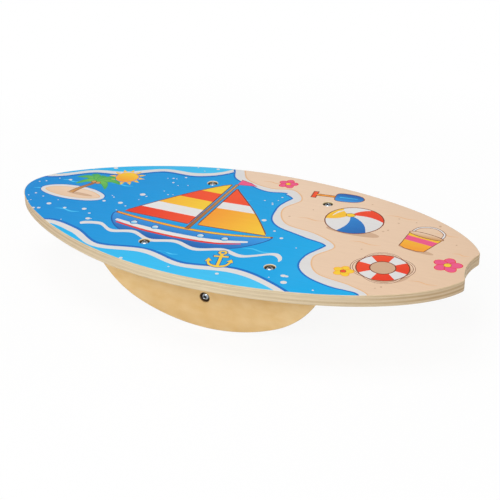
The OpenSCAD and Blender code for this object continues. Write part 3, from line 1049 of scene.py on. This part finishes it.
def boreBar(bar, name, place, depth, shape):
    radius = shape["nutHole"] * mm
    cutter = bmesh.new()
    bmesh.ops.create_cone(
        cutter, cap_ends=True, segments=shape["holeSegments"], radius1=radius, radius2=radius, depth=depth,
        matrix=Matrix.Translation(place))
    cutMesh = bpy.data.meshes.new(name)
    cutter.to_mesh(cutMesh)
    cutter.free()
    cutObject = addObject(name, cutMesh)
    modifier = bar.modifiers.new("bore", "BOOLEAN")
    modifier.object = cutObject
    modifier.solver = "EXACT"
    bar.data = bakedMesh(bar, modifier)
    bpy.data.objects.remove(cutObject)


def buildBar(shape):
    low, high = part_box("cross_bar")
    middleX, _, middleZ = middleOf("cross_bar")
    radius = (high[2] - low[2]) / 2
    ease, n = shape["ease"] * mm, shape["segments"]
    part = ease * shape["easeShare"]
    edge = ((0, ease), (part, part), (ease, 0))  # along the bar and in from its side
    stations = [(low[1] + along, radius - inward) for along, inward in edge]
    stations += [(high[1] - along, radius - inward) for along, inward in edge[::-1]]
    rings = [np.insert(disc(middleX, middleZ, r, steps=n), 1, y, axis=1) for y, r in stations]
    last = (len(rings) - 1) * n
    faces = bridge(rings) + [tuple(range(n)), tuple(range(last, last + n))]
    bar = addObject("crossBar", meshFrom("crossBar", np.vstack(rings), faces))
    facesOut(bar.data)
    for sideName in ("left", "right"):
        x, y, _ = middleOf("bar_nut_" + sideName)
        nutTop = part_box("bar_nut_" + sideName)[1][2]
        depth = nutTop - low[2] + shape["runOut"] * mm
        boreBar(bar, "nutBore." + sideName, (x, y, nutTop - depth / 2), depth, shape)
    bar.data.name = "crossBar"
    setFinishes(bar.data, barMaterial)
    shadeSmooth(bar.data, shape["sharpFrom"])
    return bar


bar = buildBar(barShape)
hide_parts("cross_bar")
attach(bar, "root")
for name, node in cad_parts.items():
    if "_nut_" in name:
        setFinishes(node.data, nutMaterial)
print("stage: cross bar made and nuts finished")

# Pale floor, soft studio light
studio = {
    "floor": 6.0, "floorMatte": 0.93, "floorShade": 0.08, "shadeReach": (0.35, 0.9), "sky": 0.22,
    "frontLamp": {"place": (0.0, -2.1, 1.6), "aim": (0, 0, 0.06), "size": 1.3, "power": 32.5},
    "sideLamp": {"place": (2.0, 0.9, 1.0), "aim": (0.1, 0, 0.06), "size": 0.9, "power": 8.0},
    "topLamp": {"place": (-0.3, -0.2, 2.2), "aim": (0, 0, 0.08), "size": 1.6, "power": 23.0},
}


def seenWhite(tree):  # 1 for what the camera sees, also in metal or through glass
    path = addNode(tree, "ShaderNodeLightPath")
    seen = mathNode(tree, "MAXIMUM", path["Is Camera Ray"], path["Is Glossy Ray"])
    return mathNode(tree, "MAXIMUM", seen, path["Is Transmission Ray"])


def addFloor():
    s = studio["floor"] / 2
    corners = [(-s, -s, 0), (s, -s, 0), (s, s, 0), (-s, s, 0)]
    floor = addObject("floor", meshFrom("floor", corners, [range(4)]))
    material, tree = newMaterial("paleFloor")
    tree.nodes.remove(tree.nodes["Principled BSDF"])
    matte = addNode(tree, "ShaderNodeBsdfDiffuse", {"Color": [studio["floorMatte"]] * 3})[0]
    white = addNode(tree, "ShaderNodeEmission", {"Strength": 1.0})[0]
    reach = addNode(tree, "ShaderNodeVectorMath", {0: objectPlace(tree)}, operation="LENGTH")["Value"]
    shown = remap(tree, reach, *studio["shadeReach"], 1 - studio["floorShade"], 1.0)
    share = mathNode(tree, "MULTIPLY", seenWhite(tree), shown)
    mixed = addNode(tree, "ShaderNodeMixShader", {0: share, 1: matte, 2: white})[0]
    tree.links.new(mixed, tree.nodes["Material Output"].inputs["Surface"])
    setFinishes(floor.data, material)


def addWorld():
    scene.world = bpy.data.worlds.new("studio")
    scene.world.use_nodes = True
    tree = scene.world.node_tree
    back = tree.nodes["Background"].inputs
    feed(tree, (1, 1, 1), back["Color"])
    feed(tree, remap(tree, seenWhite(tree), 0, 1, studio["sky"], 1.0), back["Strength"])


def addLamp(name, lampShape):
    data = bpy.data.lights.new(name, "AREA")
    data.shape = "DISK"
    data.size = lampShape["size"]
    data.energy = lampShape["power"]
    lamp = addObject(name, data)
    lamp.location = lampShape["place"]
    away = Vector(lampShape["aim"]) - Vector(lampShape["place"])
    lamp.rotation_euler = away.to_track_quat("-Z", "Y").to_euler()


addFloor()
addWorld()
for lampName in ("frontLamp", "sideLamp", "topLamp"):
    addLamp(lampName, studio[lampName])
print("stage: studio set")
